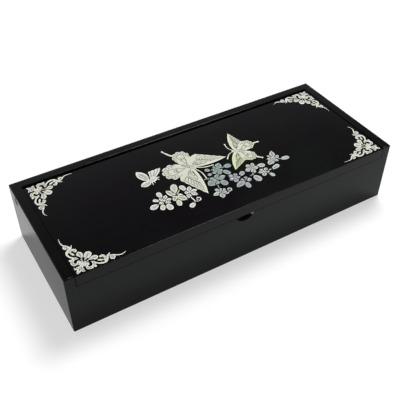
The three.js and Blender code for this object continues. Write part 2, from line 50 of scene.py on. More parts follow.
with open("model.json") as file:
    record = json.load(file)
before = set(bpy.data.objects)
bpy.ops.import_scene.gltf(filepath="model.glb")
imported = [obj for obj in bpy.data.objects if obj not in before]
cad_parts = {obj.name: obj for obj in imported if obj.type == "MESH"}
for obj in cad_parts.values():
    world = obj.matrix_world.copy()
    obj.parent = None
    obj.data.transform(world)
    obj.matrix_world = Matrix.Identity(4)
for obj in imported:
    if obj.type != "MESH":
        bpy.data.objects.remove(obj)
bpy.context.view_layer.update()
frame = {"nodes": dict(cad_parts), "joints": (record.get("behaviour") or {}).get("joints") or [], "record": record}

MM = 0.001
HINGE = Vector(frame["joints"][0]["pos_m"])


# Properties: the sizes and colours that a user would change.


def length(name, millimetres, description):
    return FloatProperty(
        name=name, description=description, default=millimetres * MM, min=0, unit="LENGTH", precision=5
    )


def share(name, value, description):
    return FloatProperty(name=name, description=description, default=value, min=0, max=1, subtype="FACTOR")


def colour(name, rgb, description):
    return FloatVectorProperty(
        name=name, description=description, default=rgb, min=0, max=1, size=3, subtype="COLOR"
    )


def watts(name, value, description):
    return FloatProperty(name=name, description=description, default=value, min=0, unit="POWER")


class BoardSizes(bpy.types.PropertyGroup):
    edge_radius: length("Outer edges", 0.8, "Radius of the case's outer edges")
    lid_radius: length("Lid edge", 0.3, "Radius of the lid's upper front edge")
    rail_radius: length("Rail edges", 0.4, "Radius of the edges around the lid")
    hairline: length("Hairline", 0.15, "Bevel that shows a joint between flush pieces")
    notch_width: length("Notch width", 13.5, "Width of the nail notch's mouth")
    notch_depth: length("Notch depth", 4.3, "Depth of the nail notch on the front face")
    notch_offset: length("Notch centre", 3.0, "How far the scoop's centre lies in front of the wall")
    notch_edge: length("Notch edge", 0.3, "Radius of the edge around the nail notch")


class InlaySizes(bpy.types.PropertyGroup):
    edge_round: length("Shell edge", 0.12, "Radius of the shell's upper edge")
    dish_depth: length("Dish", 0.08, "How far the middle of a petal lies below its rim")
    groove_width: length("Groove width", 0.64, "Width of an engraved line")
    groove_depth: length("Groove depth", 0.1, "Depth of an engraved line")
    cut_width: length("Cut width", 1.25, "Width of a saw cut between the leaves of a scroll")
    parting_width: length("Parting width", 0.5, "Width of a saw cut between two petals")
    mesh_step: length("Mesh step", 0.5, "Distance between the points of the carved surface")


class LacquerLook(bpy.types.PropertyGroup):
    black: colour("Black", (0.0028, 0.0020, 0.0030), "Colour of the lacquer")
    clouded: colour("Clouded black", (0.0034, 0.0044, 0.0040), "Colour where the lacquer lies thicker")
    roughness: share("Roughness", 0.16, "Roughness of the rubbed lacquer")
    peel: length("Orange peel", 0.012, "Height of the lacquer's slow unevenness")


class ShellLook(bpy.types.PropertyGroup):
    cream: colour("Cream", (0.76, 0.78, 0.62), "Large butterfly")
    scroll: colour("Scroll cream", (0.74, 0.75, 0.66), "Corner scrolls")
    ivory: colour("Ivory", (0.74, 0.75, 0.58), "Medium butterfly")
    green: colour("Yellow-green", (0.66, 0.78, 0.40), "Lower front wing of the medium butterfly")
    white: colour("White", (0.79, 0.79, 0.73), "Small butterfly and left spray")
    teal: colour("Teal", (0.31, 0.42, 0.40), "Blossoms beside the large butterfly")
    lilac: colour("Lilac", (0.42, 0.46, 0.49), "Blossoms in the middle of the right spray")
    silver: colour("Silver", (0.56, 0.62, 0.58), "Outer blossoms of the right spray")
    line: colour("Engraved line", (0.070, 0.064, 0.048), "Lacquer left in the engraved lines")
    # Painted shade: how bright the darkened, greyer middle of each shell piece is beside its rim.
    centre: share("Centre", 0.6, "How bright the middle of a petal is beside its rim")
    roughness: share("Roughness", 0.3, "Roughness of the polished shell")


class TrimLook(bpy.types.PropertyGroup):
    felt: colour("Felt", (0.16, 0.012, 0.018), "Lining of the box")
    steel: colour("Steel", (0.55, 0.55, 0.56), "Hinge pins")


class StageLook(bpy.types.PropertyGroup):
    floor: colour("Floor", (0.52, 0.52, 0.52), "Floor under the box")
    floor_glow: share("Floor glow", 0.5, "Light that the floor near the box adds for the camera")
    mirrored_glow: share("Mirrored glow", 0.24, "Light that the floor adds in reflections")
    key_power: watts("Key", 11.0, "Power of the lamp overhead")
    side_power: watts("Side", 4.5, "Power of the lamp on the left")


# Materials: a Wire is one socket's value with arithmetic, a Finish is a material being built.


class Wire:
    """One socket's value."""

    def __init__(self, finish, socket):
        self.finish = finish
        self.socket = socket

    def math(self, operation, *others, clamp=False):
        return self.finish.math(operation, self, *others, clamp=clamp)

    def __add__(self, other):
        return self.math("ADD", other)

    def __sub__(self, other):
        return self.math("SUBTRACT", other)

    def __rsub__(self, other):
        return self.finish.math("SUBTRACT", other, self)

    def __mul__(self, other):
        return self.math("MULTIPLY", other)

    __radd__ = __add__

    def clamped(self):
        return self.math("ADD", 0.0, clamp=True)

    def sine(self):
        return self.math("SINE")

    def step(self, low, high):
        """0 below low, 1 above high, and smooth between them."""
        settings = {"interpolation_type": "SMOOTHSTEP"}
        sockets = {"Value": self, "From Min": low, "From Max": high}
        return self.finish.node("ShaderNodeMapRange", settings, sockets, "Result")


class Finish:
    """The nodes of one material or world."""

    def __init__(self, owner):
        owner.use_nodes = True
        self.owner = owner
        self.tree = owner.node_tree
        self.tree.nodes.clear()

    def node(self, kind, settings=None, sockets=None, out=0):
        """One output of a new node: its settings come first, then its sockets' values or wires."""
        node = self.tree.nodes.new(kind)
        for key, value in (settings or {}).items():
            if key == "stops":
                set_stops(node.color_ramp, value)
            else:
                setattr(node, key, value)
        for key, value in (sockets or {}).items():
            self.attach(node.inputs[key], value)
        return Wire(self, node.outputs[out])

    def attach(self, socket, value):
        if isinstance(value, Wire):
            self.tree.links.new(value.socket, socket)
        elif hasattr(value, "__len__") and len(value) == 3 and len(socket.default_value) == 4:
            socket.default_value = (*value, 1.0)
        else:
            socket.default_value = value

    def math(self, operation, *values, clamp=False):
        settings = {"operation": operation, "use_clamp": clamp}
        return self.node("ShaderNodeMath", settings, dict(enumerate(values)))

    def place(self, stretch=(1, 1, 1)):
        """The point on the piece, in metres, with each axis multiplied by its stretch."""
        point = self.node("ShaderNodeTexCoord", out="Object")
        return self.node("ShaderNodeMapping", sockets={"Vector": point, "Scale": stretch})

    def noise(self, place, per_metre, detail, roughness=0.55, distortion=0.0):
        sockets = {"Vector": place, "Scale": per_metre, "Detail": detail}
        sockets |= {"Roughness": roughness, "Distortion": distortion}
        return self.node("ShaderNodeTexNoise", sockets=sockets)

    def distance(self, point, other):
        """How far a point is from another, in metres."""
        return self.node("ShaderNodeVectorMath", {"operation": "DISTANCE"}, {0: point, 1: other}, "Value")

    def mix(self, factor, first, second):
        """One colour passing into another."""
        return self.node("ShaderNodeMix", {"data_type": "RGBA"}, {0: factor, 6: first, 7: second}, 2)

    def bump(self, height, metres):
        return self.node("ShaderNodeBump", sockets={"Height": height, "Distance": metres})

    def light_path(self, kind):
        return self.node("ShaderNodeLightPath", out=kind)

    def attribute(self, name):
        return self.node("ShaderNodeAttribute", {"attribute_name": name}, out="Fac")

    def surface(self, **sockets):
        """The principled surface, with socket names written with underscores."""
        named = {key.replace("_", " "): value for key, value in sockets.items()}
        return self.show(self.node("ShaderNodeBsdfPrincipled", sockets=named))

    def show(self, shader):
        """Ends the material or world in a shader, and returns the material or world."""
        world = isinstance(self.owner, bpy.types.World)
        node = self.tree.nodes.new("ShaderNodeOutputWorld" if world else "ShaderNodeOutputMaterial")
        self.tree.links.new(shader.socket, node.inputs["Surface"])
        return self.owner


def set_stops(ramp, stops):
    """Gives a colour ramp its stops, each a position and a colour."""
    while len(ramp.elements) > 1:
        ramp.elements.remove(ramp.elements[-1])
    ramp.elements[0].position, ramp.elements[0].color = stops[0][0], (*stops[0][1], 1)
    for position, rgb in stops[1:]:
        ramp.elements.new(position).color = (*rgb, 1)


# Finishes of the box.

LACQUER_IOR = 1.28
SHELL_IOR = 1.53
PLUG_RING = (2.4 * MM, 3.2 * MM)  # the lacquer is dull up to the first distance from a pin's axis
GREEN_PLACE = (0.0175, -0.0085, 0.0458)  # the middle of the medium butterfly's green patch
GREEN_REACH = (5 * MM, 12 * MM)  # it is fully green up to the first distance and ends at the second
CASE_SHEEN = (0.90, 1.0, 0.97)  # greener than the lid's, as in the photograph
LID_SHEEN = (1.0, 0.96, 1.0)

# Each kind of lacquer: the colour of its sheen, how much rougher it is, and whether it is touched in.
COATS = {
    "case_lacquer": (CASE_SHEEN, 0.0, False),
    "end_lacquer": (CASE_SHEEN, 0.0, True),
    "plug_lacquer": (CASE_SHEEN, 0.5, False),
    "lid_lacquer": (LID_SHEEN, 0.0, False),
}


def chosen(group):
    """A group of the sizes or colours in the sidebar."""
    return getattr(bpy.context.scene, f"pen_box_{group}")


def coat(name):
    """One of the kinds of lacquer, made when it is first used."""
    return bpy.data.materials.get(name) or lacquer(name, *COATS[name])


def lacquer(name, sheen, dullness, touched_in):
    """Black lacquer with a sheen of its own colour: faint clouds, slow unevenness and a few dust nibs.

    Touched-in lacquer is duller round the plugs of the hinge pins.
    """
    look = chosen("lacquer")
    finish = Finish(bpy.data.materials.new(name))
    place = finish.place()
    clouds = finish.noise(place, per_metre=14, detail=2)
    rubbing = finish.noise(finish.place((0.3, 1, 1)), per_metre=260, detail=3)
    peel = finish.noise(place, per_metre=170, detail=1.5)
    nibs = finish.noise(place, per_metre=900, detail=0).step(0.82, 0.86)
    base = finish.mix(clouds.step(0.35, 0.7), look.black, look.clouded)
    roughness = look.roughness + dullness + (rubbing - 0.5) * 0.06 + (clouds - 0.5) * 0.08 + nibs * 0.05
    height = peel + nibs * 0.1
    if touched_in:
        away = finish.distance(finish.place((0, 1, 1)), (0, HINGE.y, HINGE.z))
        roughness = roughness + (1 - away.step(*PLUG_RING)) * 0.4
    return finish.surface(
        Base_Color=base,
        Roughness=roughness.clamped(),
        IOR=LACQUER_IOR,
        Specular_Tint=sheen,
        Normal=finish.bump(height, look.peel),
    )


def shell(name, rgb, centre):
    """Polished shell: milky clouds, growth lines, painted shade that leaves the shell greyer and darker away from
    its border than on its rim, and dark engraved lines.

    Lacquer covers its sides and its rounded rim. The ivory shell is yellow-green in one place.
    """
    look = chosen("shell")
    finish = Finish(bpy.data.materials.new(name))
    place = finish.place()
    rim = finish.attribute("rim")
    engraved = finish.attribute("engraved")
    warp = finish.noise(place, per_metre=110, detail=2)
    flow = finish.noise(finish.place((1, 0.35, 1)), per_metre=170, detail=2, distortion=0.8)
    bands = (flow * 46 + warp * 9).sine() * 0.5 + 0.5
    milk = finish.noise(place, per_metre=260, detail=3)
    green_tint = tint(rgb, (0.97, 1.02, 0.92))
    rosy_tint = tint(rgb, (1.01, 0.96, 0.98))
    base = finish.mix(warp.step(0.42, 0.62), rgb, green_tint)
    base = finish.mix(flow.step(0.5, 0.66), base, rosy_tint)
    base = finish.mix(bands * 0.12, base, tint(rgb, (0.75, 0.75, 0.75)))
    base = finish.mix(milk.step(0.45, 0.75) * 0.3, base, tint(rgb, (1.15, 1.15, 1.18)))
    if rgb == tuple(look.ivory):
        away = finish.distance(place, GREEN_PLACE)
        base = finish.mix(1 - away.step(*GREEN_REACH), base, look.green)
    # Painted shade: away from the border, where the dish lies, the colour is mixed towards a darker, greyer tone,
    # as shade of the dish; the rim keeps the shell's own colour.
    grey = sum(rgb) / 3
    dull = tuple(look.centre * (0.7 * grey + 0.3 * c) for c in rgb)
    base = finish.mix(rim * centre, base, dull)
    cut = finish.mix(engraved.step(0.05, 0.45) * 0.9, base, look.line)
    black = chosen("lacquer").black
    cut = finish.mix(finish.attribute("foot").step(0.03, 0.15), cut, black)
    cut = finish.mix(finish.attribute("hem").step(0.1, 0.35), cut, black)
    roughness = look.roughness + (milk - 0.5) * 0.16 + engraved * 0.3
    return finish.surface(
        Base_Color=cut,
        Roughness=roughness.clamped(),
        IOR=SHELL_IOR,
        Coat_Weight=0.3,
        Coat_Roughness=0.12,
        Normal=finish.bump(bands * 0.5 + milk, 0.02 * MM),
    )


def tint(rgb, factors):
    return tuple(min(1.0, c * f) for c, f in zip(rgb, factors))


def felt_cloth():
    """Short dense felt: matted fibres, a soft nap and a little lint."""
    look = chosen("trim")
    finish = Finish(bpy.data.materials.new("wine_felt"))
    place = finish.place()
    stretched = finish.place((1, 1.6, 1))
    fibres = finish.noise(stretched, per_metre=2600, detail=4, roughness=0.75, distortion=1.2)
    matting = finish.noise(place, per_metre=320, detail=3)
    nap = finish.noise(place, per_metre=28, detail=2)
    lint = finish.noise(place, per_metre=1500, detail=0).step(0.78, 0.84)
    dark = tuple(c * 0.55 for c in look.felt)
    light = tuple(min(1, c * 1.4 + 0.004) for c in look.felt)
    base = finish.mix((fibres * 0.6 + matting * 0.4).step(0.35, 0.65), dark, look.felt)
    base = finish.mix(nap.step(0.4, 0.7) * 0.4, base, light)
    base = finish.mix(lint * 0.3, base, (0.24, 0.12, 0.12))
    return finish.surface(
        Base_Color=base,
        Roughness=0.95,
        Sheen_Weight=0.12,
        Sheen_Roughness=0.5,
        Normal=finish.bump(fibres + matting * 0.6, 0.25 * MM),
    )


def pin_steel():
    """Drawn steel: fine lines round the pin and a trace of oil."""
    look = chosen("trim")
    finish = Finish(bpy.data.materials.new("drawn_steel"))
    lines = finish.noise(finish.place((1, 0.02, 0.02)), per_metre=9000, detail=2)
    oil = finish.noise(finish.place(), per_metre=600, detail=3)
    base = finish.mix(oil.step(0.5, 0.7) * 0.4, look.steel, (0.30, 0.27, 0.22))
    return finish.surface(
        Base_Color=base,
        Metallic=1.0,
        Roughness=(lines * 0.25 + oil * 0.1 + 0.18).clamped(),
        Normal=finish.bump(lines, 0.01 * MM),
    )


# Boards.

FELT_EDGE = 0.45 * MM
PIN_EDGE = 0.3 * MM
PLUG_PLAY = 0.04 * MM  # between a plug and its bore
TOUCH = 1e-6  # metres: a point this close to a plane lies on it
SLIVER = 0.002 * MM  # points closer than this are one
SHARP = math.radians(50)  # an edge that turns more is shaded sharp
LIP = math.radians(24)  # an edge of the nail notch that turns more is its lip
ROUND_SEGMENTS = 48  # of a bar's circle
ARC_STEPS = 40  # of the lid's round rear edge
SCOOP_SEGMENTS = (96, 64)  # round the nail notch's sphere, and from its top to its bottom
SCOOP_PLAY = 0.02 * MM  # how far outside that sphere a point of the notch may lie


def new_object(name, data):
    """An object in the scene."""
    made = bpy.data.objects.new(name, data)
    bpy.context.scene.collection.objects.link(made)
    return made


def start_box(low, high):
    """A bmesh block between two corners."""
    mesh = bmesh.new()
    bmesh.ops.create_cube(mesh, size=1.0)
    size = high - low
    bmesh.ops.scale(mesh, verts=mesh.verts, vec=size)
    bmesh.ops.translate(mesh, verts=mesh.verts, vec=(low + high) / 2)
    return mesh


def edges_between(mesh, low, high, pairs):
    """The edges of a block where two named sides meet, such as 'top front'."""
    planes = {
        "left": (0, low), "right": (0, high),
        "front": (1, low), "back": (1, high),
        "bottom": (2, low), "top": (2, high),
    }
    found = []
    for pair in pairs:
        tests = [planes[side] for side in pair.split()]
        for edge in mesh.edges:
            if all(abs(v.co[axis] - corner[axis]) < TOUCH for v in edge.verts for axis, corner in tests):
                found.append(edge)
    return found


def soften(mesh, edges, radius, segments=5):
    bmesh.ops.bevel(
        mesh, geom=edges, offset=radius, segments=segments,
        profile=0.5, affect="EDGES", material=-1, clamp_overlap=True,
    )


def board(low, high, *roundings):
    """A block whose named edges are rounded: each rounding is a radius and its pairs of sides."""
    mesh = start_box(low, high)
    for radius, pairs in roundings:
        soften(mesh, edges_between(mesh, low, high, pairs), radius)
    return mesh


def finish_piece(mesh, name, material, body, node, flat_weight=True):
    """Makes the object of a bmesh, smooth between its real edges, with its material, puts it under its body, and
    hides the frame's node that it stands for.
    """
    bmesh.ops.dissolve_degenerate(mesh, dist=SLIVER, edges=mesh.edges)
    bmesh.ops.recalc_face_normals(mesh, faces=mesh.faces)
    data = bpy.data.meshes.new(name)
    mesh.to_mesh(data)
    mesh.free()
    data.shade_smooth()
    data.set_sharp_from_angle(angle=SHARP)
    data.materials.append(material)
    piece = new_object(name, data)
    if flat_weight:
        weighted = piece.modifiers.new("flat_faces", "WEIGHTED_NORMAL")
        weighted.keep_sharp = True
    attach(piece, body)
    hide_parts(node)
    return piece


def subtract(mesh, cutters):
    """Cuts bmesh shapes out of a bmesh, and frees all of them. Returns the cut bmesh."""
    body = as_object(mesh, "cut_body")
    tools = [as_object(cutter, "cut_tool") for cutter in cutters]
    for tool in tools:
        modifier = body.modifiers.new("cut", "BOOLEAN")
        modifier.operation = "DIFFERENCE"
        modifier.solver = "EXACT"
        modifier.object = tool
    bpy.context.view_layer.update()
    result = bmesh.new()
    result.from_object(body, bpy.context.evaluated_depsgraph_get())
    for thing in (body, *tools):
        bpy.data.objects.remove(thing)
    return result


def as_object(mesh, name):
    data = bpy.data.meshes.new(name)
    bmesh.ops.recalc_face_normals(mesh, faces=mesh.faces)
    mesh.to_mesh(data)
    mesh.free()
    return new_object(name, data)


def round_bar(x0, x1, radius):
    """A bar along X on the hinge axis."""
    mesh = bmesh.new()
    place = Matrix.Translation(((x0 + x1) / 2, HINGE.y, HINGE.z))
    bmesh.ops.create_cone(
        mesh, cap_ends=True, segments=ROUND_SEGMENTS, radius1=radius, radius2=radius, depth=abs(x1 - x0),
        matrix=place @ Matrix.Rotation(math.pi / 2, 4, "Y"),
    )
    return mesh


def plug_place(side):
    """Where a plug's seat and its outer face lie along the box, and its radius."""
    low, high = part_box(f"{side}_pin_plug")
    seat, face = (high.x, low.x) if side == "left" else (low.x, high.x)
    return seat, face, (high.z - low.z) / 2


def end_wall(side):
    """The left or right end wall, with the bore that the plug closes."""
    low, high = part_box(f"{side}_end_wall")
    sizes = chosen("boards")
    outer, inner = ("left", "right") if side == "left" else ("right", "left")
    round_edges = [f"{outer} {other}" for other in ("top", "bottom", "front", "back")]
    round_edges += ["top front", "top back", "bottom front", "bottom back"]
    mesh = board(low, high, (sizes.edge_radius, round_edges), (sizes.rail_radius, [f"{inner} top"]))
    seat, face, radius = plug_place(side)
    past = face + (face - seat)
    return subtract(mesh, [round_bar(seat, past, radius + PLUG_PLAY)])


def front_wall():
    """The front wall between the end walls, with the nail notch scooped out of its upper edge."""
    low, high = inner_span("front_wall")
    sizes = chosen("boards")
    mesh = board(low, high, (sizes.edge_radius, ["bottom front"]))
    width, depth = sizes.notch_width, sizes.notch_depth
    mouth_radius = (width**2 / 4 + depth**2) / (2 * depth)
    radius = math.hypot(mouth_radius, sizes.notch_offset)
    centre = Vector((0, low.y - sizes.notch_offset, high.z - depth + mouth_radius))
    scoop = bmesh.new()
    around, down = SCOOP_SEGMENTS
    bmesh.ops.create_uvsphere(
        scoop, u_segments=around, v_segments=down, radius=radius, matrix=Matrix.Translation(centre)
    )
    mesh = subtract(mesh, [scoop])
    lip = [
        edge for edge in mesh.edges
        if edge.calc_face_angle() > LIP
        and all((v.co - centre).length < radius + SCOOP_PLAY for v in edge.verts)
    ]
    soften(mesh, lip, sizes.notch_edge, segments=3)
    return mesh


def back_wall():
    low, high = inner_span("back_wall")
    sizes = chosen("boards")
    outer = (sizes.edge_radius, ["bottom back", "top back"])
    return board(low, high, outer, (sizes.rail_radius, ["top front"]))


def inner_span(node):
    """A long wall's box between the end walls, without the tongues that the end walls hide."""
    low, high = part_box(node)
    low.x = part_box("left_end_wall")[1].x
    high.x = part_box("right_end_wall")[0].x
    return low, high


def bottom_panel():
    low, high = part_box("bottom_panel")
    rim = [f"bottom {side}" for side in ("left", "right", "front", "back")]
    return board(low, high, (chosen("boards").hairline, rim))


def lid_board():
    """The lid: its section is spun and drawn on a side plane, then drawn out along the box."""
    low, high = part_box("lid_board")
    sizes = chosen("boards")
    radius = high.y - HINGE.y
    start = math.asin((low.z - HINGE.z) / radius)
    end = math.asin((high.z - HINGE.z) / radius)
    mesh = bmesh.new()
    first = mesh.verts.new((low.x, HINGE.y + radius * math.cos(start), low.z))
    bmesh.ops.spin(
        mesh, geom=[first], cent=(low.x, HINGE.y, HINGE.z), axis=(1, 0, 0),
        angle=end - start, steps=ARC_STEPS, use_merge=False,
    )
    mesh.verts.ensure_lookup_table()
    arc = sorted(mesh.verts, key=lambda v: v.co.z)
    front = [mesh.verts.new((low.x, low.y, z)) for z in (high.z, low.z)]
    for one, other in ((arc[-1], front[0]), (front[0], front[1]), (front[1], arc[0])):
        mesh.edges.new((one, other))
    section = bmesh.ops.contextual_create(mesh, geom=mesh.edges[:])["faces"]
    drawn = bmesh.ops.extrude_face_region(mesh, geom=section)["geom"]
    moved = [item for item in drawn if isinstance(item, bmesh.types.BMVert)]
    bmesh.ops.translate(mesh, verts=moved, vec=(high.x - low.x, 0, 0))
    bmesh.ops.recalc_face_normals(mesh, faces=mesh.faces)
    soften(mesh, edges_between(mesh, low, high, ["top front"]), sizes.lid_radius)
    return mesh


def felt_pad():
    """The lining: a cut sheet of felt with soft edges."""
    low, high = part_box("felt_pad")
    return board(low, high, (FELT_EDGE, ["top left", "top right", "top front", "top back"]))


def pin_plug(side):
    seat, face, radius = plug_place(side)
    mesh = round_bar(seat, face, radius)
    rim = [edge for edge in mesh.edges if all(abs(v.co.x - face) < TOUCH for v in edge.verts)]
    soften(mesh, rim, chosen("boards").hairline * 2, segments=3)
    return mesh


def hinge_pin(side):
    low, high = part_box(f"{side}_hinge_pin")
    mesh = round_bar(low.x, high.x, (high.z - low.z) / 2)
    rims = [edge for edge in mesh.edges if abs(edge.verts[0].co.x - edge.verts[1].co.x) < TOUCH]
    soften(mesh, rims, PIN_EDGE, segments=3)
    return mesh


# Shell inlay: outlines are taken from the frame's shell pieces, smoothed, and carved.

CORNER_ANGLE = 42  # degrees: where an outline turns more, it has a real corner
STRAIGHT_ANGLE = 1.5  # degrees: where it turns less, its point is left out
SHORTEST_STEP = 0.03  # mm: a point closer than this to the next is left out
OUTLINE_STEP = 0.34  # mm between the points of a smoothed outline
LINE_STEP = 0.4  # mm between the points of an engraved line
ROUND_STEP = 0.35  # mm between the points of an engraved round line
MERGE = 1e-5  # mm: points of the drawing that are closer than this are one
GROOVE_MARGIN = 0.9  # from the border to a groove's middle, in groove widths
GROOVE_CLEAR = 0.55  # from a groove's middle to the nearest loose point, in groove widths
HEM = 0.1  # how far lacquer covers the shell's border, in radii of the rounded edge
RIM_START = 0.35  # mm from the border to where a petal's dish begins
RIM_SLOPE = 0.5  # mm, width of the slope into the dish
BORDER_ROWS = (1, 2.6)  # rows of points along the border, in radii of the rounded edge
CRUMB = 1.0  # mm2: a bit of shell smaller than this isn't laid
MOST_PAIRS = 2_000_000  # pairs of a point and a line that are measured at once


def outlines(node):
    """The closed lines round a shell's upper face, in millimetres, with the shell on their left."""
    mesh = bmesh.new()
    mesh.from_mesh(frame["nodes"][node].data)
    bmesh.ops.remove_doubles(mesh, verts=mesh.verts, dist=SLIVER)
    just_below_top = max(v.co.z for v in mesh.verts) - 0.05 * MM
    lower = [face for face in mesh.faces if min(v.co.z for v in face.verts) < just_below_top]
    bmesh.ops.delete(mesh, geom=lower, context="FACES")
    following = {}
    for edge in mesh.edges:
        if len(edge.link_faces) == 1:
            corner = edge.link_loops[0]
            following.setdefault(corner.vert.index, []).append(corner.link_loop_next.vert.index)
    mesh.verts.ensure_lookup_table()
    flat = [(v.co.x / MM, v.co.y / MM) for v in mesh.verts]
    mesh.free()
    loops = []
    while following:
        start = next(iter(following))
        walk = [start]
        while True:
            options = following[walk[-1]]
            step = options.pop()
            if not options:
                del following[walk[-1]]
            if step == start:
                break
            walk.append(step)
        loops.append(np.array([flat[i] for i in walk]))
    return loops


def without_straight_points(points):
    """A closed line without points that lie on a straight stretch or on each other."""
    kept = points[np.linalg.norm(np.roll(points, -1, axis=0) - points, axis=1) > SHORTEST_STEP]
    turn, _, _ = turns(kept)
    return kept[np.abs(turn) > STRAIGHT_ANGLE]


def turns(points):
    """At each point of a closed line: the turn in degrees, the way on, and the length to the next point."""
    ahead = np.roll(points, -1, axis=0) - points
    reach = np.linalg.norm(ahead, axis=1)
    way = ahead / reach[:, None]
    before = np.roll(way, 1, axis=0)
    cross = before[:, 0] * way[:, 1] - before[:, 1] * way[:, 0]
    dot = (before * way).sum(axis=1)
    return np.degrees(np.arctan2(cross, dot)), way, reach


def smoothed(points):
    """A closed line through the same points, curved between its real corners, with its first point last."""
    points = without_straight_points(points)
    turn, way, reach = turns(points)
    tangent = way + np.roll(way, 1, axis=0)
    tangent /= np.linalg.norm(tangent, axis=1)[:, None]
    corner = np.abs(turn) > CORNER_ANGLE
    curve = []
    for i in range(len(points)):
        j = (i + 1) % len(points)
        chord = way[i]
        leave = chord if corner[i] else tangent[i]
        arrive = chord if corner[j] else tangent[j]
        if corner[i] and not corner[j]:
            leave = 2 * (arrive @ chord) * chord - arrive
        if corner[j] and not corner[i]:
            arrive = 2 * (leave @ chord) * chord - leave
        curve += stretch(points[i], points[j], leave, arrive, reach[i], OUTLINE_STEP)
    return np.array([*curve, curve[0]])


def stretch(start, end, leave, arrive, reach, step):
    """The points of a curve from start to just before end, which leaves and arrives in the given ways."""
    steps = max(1, round(reach / step))
    return [
        (2 * s**3 - 3 * s**2 + 1) * start
        + (s**3 - 2 * s**2 + s) * (leave * reach)
        + (3 * s**2 - 2 * s**3) * end
        + (s**3 - s**2) * (arrive * reach)
        for s in np.arange(steps) / steps
    ]


def distance(points, lines):
    """From each point to the nearest of the lines."""
    if not lines:
        return np.full(len(points), np.inf)
    start = np.vstack([line[:-1] for line in lines])
    along = np.vstack([line[1:] - line[:-1] for line in lines])
    reach = np.maximum((along**2).sum(axis=1), 1e-12)
    found = np.empty(len(points))
    chunk = max(1, MOST_PAIRS // len(start))
    for i in range(0, len(points), chunk):
        offset = points[i : i + chunk, None, :] - start[None]
        part = np.clip((offset * along).sum(axis=2) / reach, 0, 1)
        nearest = offset - part[..., None] * along
        found[i : i + chunk] = np.sqrt((nearest**2).sum(axis=2).min(axis=1))
    return found


def inside(points, loops):
    """Whether each point lies in the shell: an odd number of edges is crossed on the way out."""
    crossed = np.zeros(len(points), int)
    for loop in loops:
        a, b = loop[:-1], loop[1:]
        spans = (a[:, 1] > points[:, 1:2]) != (b[:, 1] > points[:, 1:2])
        rise = np.where(b[:, 1] == a[:, 1], 1e-12, b[:, 1] - a[:, 1])
        at_x = a[:, 0] + (points[:, 1:2] - a[:, 1]) / rise * (b[:, 0] - a[:, 0])
        crossed += (spans & (points[:, 0:1] < at_x)).sum(axis=1)
    return crossed % 2 == 1


def inset_points(loops, depth):
    """Points a little inside the outline, where the shell is wide enough for them."""
    rows = []
    for loop in loops:
        way = np.roll(loop[:-1], -1, axis=0) - np.roll(loop[:-1], 1, axis=0)
        rows.append(loop[:-1] + depth * leftward(way))
    points = np.vstack(rows)
    return points[inside(points, loops) & (distance(points, loops) > 0.85 * depth)]


def grid_points(loops, step):
    """An even triangular grid of points inside the outline."""
    every = np.vstack(loops)
    low, high = every.min(axis=0), every.max(axis=0)
    rows = np.arange(low[1], high[1], step * math.sqrt(3) / 2)
    across = np.arange(low[0], high[0], step)
    points = np.array([(x + step / 2 * (i % 2), y) for i, y in enumerate(rows) for x in across])
    points = points[inside(points, loops)]
    return points[distance(points, loops) > 0.6 * step]


def drawn_line(points, step=LINE_STEP):
    """An open smooth line through a few points, as an array."""
    points = np.array(points, float)
    way = np.vstack([points[1] - points[0], points[2:] - points[:-2], points[-1] - points[-2]])
    way /= np.linalg.norm(way, axis=1)[:, None]
    curve = []
    for i in range(len(points) - 1):
        reach = np.linalg.norm(points[i + 1] - points[i])
        curve += stretch(points[i], points[i + 1], way[i], way[i + 1], reach, step)
    return np.array([*curve, points[-1]])


def kept_runs(line, loops, margin):
    """The stretches of a line that keep a margin to the outline."""
    good = inside(line, loops) & (distance(line, loops) > margin)
    runs = np.split(np.arange(len(line)), np.flatnonzero(np.diff(good.astype(int))) + 1)
    return [line[run] for run in runs if good[run[0]] and len(run) > 2]


def midribs(loops):
    """A line down the middle of each petal and leaf, from near its tip to where it grows narrow."""
    from_tip = np.arange(0.7, 7, 0.3)
    least_depth = 0.55
    least_share = 0.62
    ribs = []
    for loop in loops:
        for corner, inward in corners(loop, 1):
            walk = corner + from_tip[:, None] * inward
            depth = np.where(inside(walk, loops), distance(walk, loops), 0)
            end = 0
            while end + 1 < len(walk):
                if depth[end + 1] <= max(least_depth, least_share * depth[: end + 1].max()):
                    break
                end += 1
            if end >= 4:
                ribs.append(walk[: 2 + 3 * end // 4])
    return ribs


def corners(loop, side):
    """The corners of a closed line and their ways into the shell: tips with side 1, notches with -1."""
    points = loop[:-1]
    turn, way, _ = turns(points)
    found = []
    for i in np.flatnonzero(side * turn > CORNER_ANGLE):
        inward = side * (way[i] - way[i - 1])
        found.append((points[i], inward / np.linalg.norm(inward)))
    return found


def slit(line, width):
    """The closed line round a saw cut, with the shell on its left."""
    sides = np.vstack([beside(line, width / 2), beside(line, -width / 2)[::-1]])
    return np.vstack([sides, sides[:1]])


def partings(loops):
    """Short saw cuts that go on from the notches between two petals."""
    width = chosen("inlay").parting_width / MM
    reach = np.arange(0.3, 2.4, 0.1)
    start = -0.15
    cuts = []
    for loop in loops:
        for corner, inward in corners(loop, -1):
            walk = corner + reach[:, None] * inward
            free = inside(walk, loops) & (distance(walk, loops) > 0.6 * reach)
            clear = len(free) if free.all() else int(np.argmin(free))
            if clear >= 3:
                end = 0.75 * reach[clear - 1]
                cuts.append(slit(corner + np.linspace(start, end, 4)[:, None] * inward, width))
    return cuts


